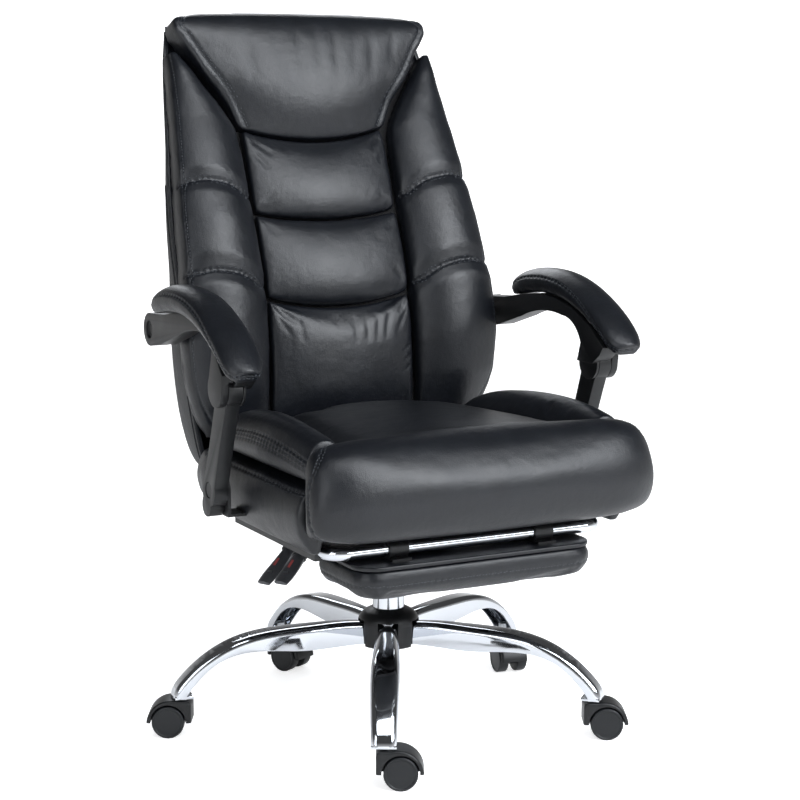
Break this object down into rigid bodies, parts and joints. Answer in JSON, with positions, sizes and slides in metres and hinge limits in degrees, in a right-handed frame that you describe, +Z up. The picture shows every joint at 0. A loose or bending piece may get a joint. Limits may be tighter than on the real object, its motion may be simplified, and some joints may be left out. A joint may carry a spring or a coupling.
{
  "type": "reclining office chair with footrest",
  "caption": "Upholstered swivel chair on a star base with casters, with a reclining high back, linked arms and a slide-out footrest.",
  "frame": {"origin": "swivel axis on the floor", "axes": "+Z up, -Y towards the front of the seat, +X to the sitter's left"},
  "size_m": [0.7358, 0.7239, 1.1117],
  "materials": {
    "polished_chrome": "mirror-polished plate",
    "zinc_steel": "zinc-plated",
    "painted_steel": "black powder coat",
    "moulded_plastic": "fine moulded texture",
    "wheel_plastic": "satin nylon",
    "plywood": "raw sheet",
    "black_leather": "semi-gloss bonded grain"
  },
  "bodies": {
    "base": {"base_leg_1": "polished_chrome", "base_leg_2": "polished_chrome", "base_leg_3": "polished_chrome", "base_leg_4": "polished_chrome", "base_leg_5": "polished_chrome", "base_hub": "polished_chrome", "hub_cover": "moulded_plastic", "column_tube": "polished_chrome", "guide_bush": "moulded_plastic", "thrust_bearing": "zinc_steel", "caster_sockets": "zinc_steel"},
    "spindle": {"piston_rod": "zinc_steel"},
    "seat": {"pressure_cylinder": "polished_chrome", "mechanism_housing": "painted_steel", "recline_pin": "zinc_steel", "recline_lock_plates": "zinc_steel", "seat_board": "plywood", "footrest_rails": "painted_steel", "arm_brackets": "painted_steel", "arm_post_bolts": "zinc_steel", "seat_base_cushion": "black_leather", "seat_cushion": "black_leather", "seat_side_pad_left": "black_leather", "seat_side_pad_right": "black_leather"},
    "backrest": {"recline_yoke": "painted_steel", "back_crossbar": "painted_steel", "back_board": "plywood", "back_shell": "black_leather", "lumbar_pad": "black_leather", "middle_pad": "black_leather", "upper_pad": "black_leather", "back_bolster_left": "black_leather", "back_bolster_right": "black_leather", "headrest_cushion": "black_leather"},
    "height_lever": {"height_lever_rod": "zinc_steel", "height_lever_paddle": "moulded_plastic"},
    "recline_lever": {"recline_lever_rod": "zinc_steel", "recline_lever_paddle": "moulded_plastic"},
    "footrest_frame": {"footrest_tube": "polished_chrome"},
    "footrest_panel": {"footrest_clips": "zinc_steel", "footrest_board": "plywood", "footrest_pad": "black_leather"},
    "post_left": {"arm_post_left": "moulded_plastic"},
    "armrest_left": {"arm_frame_left": "moulded_plastic", "arm_pad_left": "black_leather"},
    "post_right": {"arm_post_right": "moulded_plastic"},
    "armrest_right": {"arm_frame_right": "moulded_plastic", "arm_pad_right": "black_leather"},
    "caster_1": {"caster_hood_1": "moulded_plastic"},
    "wheels_1": {"caster_wheels_1": "wheel_plastic"},
    "caster_2": {"caster_hood_2": "moulded_plastic"},
    "wheels_2": {"caster_wheels_2": "wheel_plastic"},
    "caster_3": {"caster_hood_3": "moulded_plastic"},
    "wheels_3": {"caster_wheels_3": "wheel_plastic"},
    "caster_4": {"caster_hood_4": "moulded_plastic"},
    "wheels_4": {"caster_wheels_4": "wheel_plastic"},
    "caster_5": {"caster_hood_5": "moulded_plastic"},
    "wheels_5": {"caster_wheels_5": "wheel_plastic"}
  },
  "joints": [
    {"name": "seat_swivel", "type": "hinge", "parent": "base", "child": "spindle", "pos_m": [0, 0, 0.13], "axis": [0, 0, 1], "continuous": true},
    {"name": "seat_lift", "type": "slide", "parent": "spindle", "child": "seat", "axis": [0, 0, 1], "range_m": [0, 0.08]},
    {"name": "back_recline", "type": "hinge", "parent": "seat", "child": "backrest", "pos_m": [0, 0.1589, 0.386], "axis": [-1, 0, 0], "range_deg": [0, 35]},
    {"name": "footrest_slide", "type": "slide", "parent": "seat", "child": "footrest_frame", "axis": [0, -1, 0], "range_m": [0, 0.24]},
    {"name": "footrest_flip", "type": "hinge", "parent": "footrest_frame", "child": "footrest_panel", "pos_m": [0, -0.259, 0.338], "axis": [-1, 0, 0], "range_deg": [0, 180]},
    {"name": "post_tilt_left", "type": "hinge", "parent": "seat", "child": "post_left", "pos_m": [0.311, -0.052, 0.4035], "axis": [-1, 0, 0], "range_deg": [0, 42.44]},
    {"name": "armrest_tilt_left", "type": "hinge", "parent": "backrest", "child": "armrest_left", "pos_m": [0.302, 0.201, 0.6135], "axis": [-1, 0, 0], "range_deg": [-23.25, 0]},
    {"name": "post_tilt_right", "type": "hinge", "parent": "seat", "child": "post_right", "pos_m": [-0.311, -0.052, 0.4035], "axis": [-1, 0, 0], "range_deg": [0, 42.44]},
    {"name": "armrest_tilt_right", "type": "hinge", "parent": "backrest", "child": "armrest_right", "pos_m": [-0.302, 0.201, 0.6135], "axis": [-1, 0, 0], "range_deg": [-23.25, 0]},
    {"name": "height_lever_lift", "type": "hinge", "parent": "seat", "child": "height_lever", "pos_m": [-0.066, -0.048, 0.312], "axis": [0, 1, 0], "range_deg": [0, 8], "stiffness_Nm_per_rad": 6, "springref_deg": -2.86},
    {"name": "recline_lever_lift", "type": "hinge", "parent": "seat", "child": "recline_lever", "pos_m": [-0.066, -0.086, 0.312], "axis": [0, 1, 0], "range_deg": [0, 8], "stiffness_Nm_per_rad": 6, "springref_deg": -2.86},
    {"name": "caster_swivel_1", "type": "hinge", "parent": "base", "child": "caster_1", "pos_m": [-0.15449, -0.28934, 0.07], "axis": [0, 0, 1], "continuous": true},
    {"name": "wheel_roll_1", "type": "hinge", "parent": "caster_1", "child": "wheels_1", "pos_m": [-0.13311, -0.30023, 0.025], "axis": [0.454, 0.891, 0], "continuous": true},
    {"name": "caster_swivel_2", "type": "hinge", "parent": "base", "child": "caster_2", "pos_m": [0.22744, -0.23634, 0.07], "axis": [0, 0, 1], "continuous": true},
    {"name": "wheel_roll_2", "type": "hinge", "parent": "caster_2", "child": "wheels_2", "pos_m": [0.24882, -0.24724, 0.025], "axis": [0.454, 0.891, 0], "continuous": true},
    {"name": "caster_swivel_3", "type": "hinge", "parent": "base", "child": "caster_3", "pos_m": [0.29506, 0.14327, 0.07], "axis": [0, 0, 1], "continuous": true},
    {"name": "wheel_roll_3", "type": "hinge", "parent": "caster_3", "child": "wheels_3", "pos_m": [0.29109, 0.1196, 0.025], "axis": [0.9863, -0.165, 0], "continuous": true},
    {"name": "caster_swivel_4", "type": "hinge", "parent": "base", "child": "caster_4", "pos_m": [-0.04508, 0.32489, 0.07], "axis": [0, 0, 1], "continuous": true},
    {"name": "wheel_roll_4", "type": "hinge", "parent": "caster_4", "child": "wheels_4", "pos_m": [-0.03426, 0.30346, 0.025], "axis": [0.8926, 0.4509, 0], "continuous": true},
    {"name": "caster_swivel_5", "type": "hinge", "parent": "base", "child": "caster_5", "pos_m": [-0.32292, 0.05752, 0.07], "axis": [0, 0, 1], "continuous": true},
    {"name": "wheel_roll_5", "type": "hinge", "parent": "caster_5", "child": "wheels_5", "pos_m": [-0.34424, 0.06853, 0.025], "axis": [-0.4587, -0.8886, 0], "continuous": true}
  ],
  "couplings": [
    {"joint": "post_tilt_left", "follows": "back_recline", "ratio": 1.2068},
    {"joint": "armrest_tilt_left", "follows": "back_recline", "ratio": -0.6585},
    {"joint": "post_tilt_right", "follows": "back_recline", "ratio": 1.2068},
    {"joint": "armrest_tilt_right", "follows": "back_recline", "ratio": -0.6585},
    {"joint": "footrest_flip", "follows": "footrest_slide", "rad_per_m": 13.089}
  ]
}
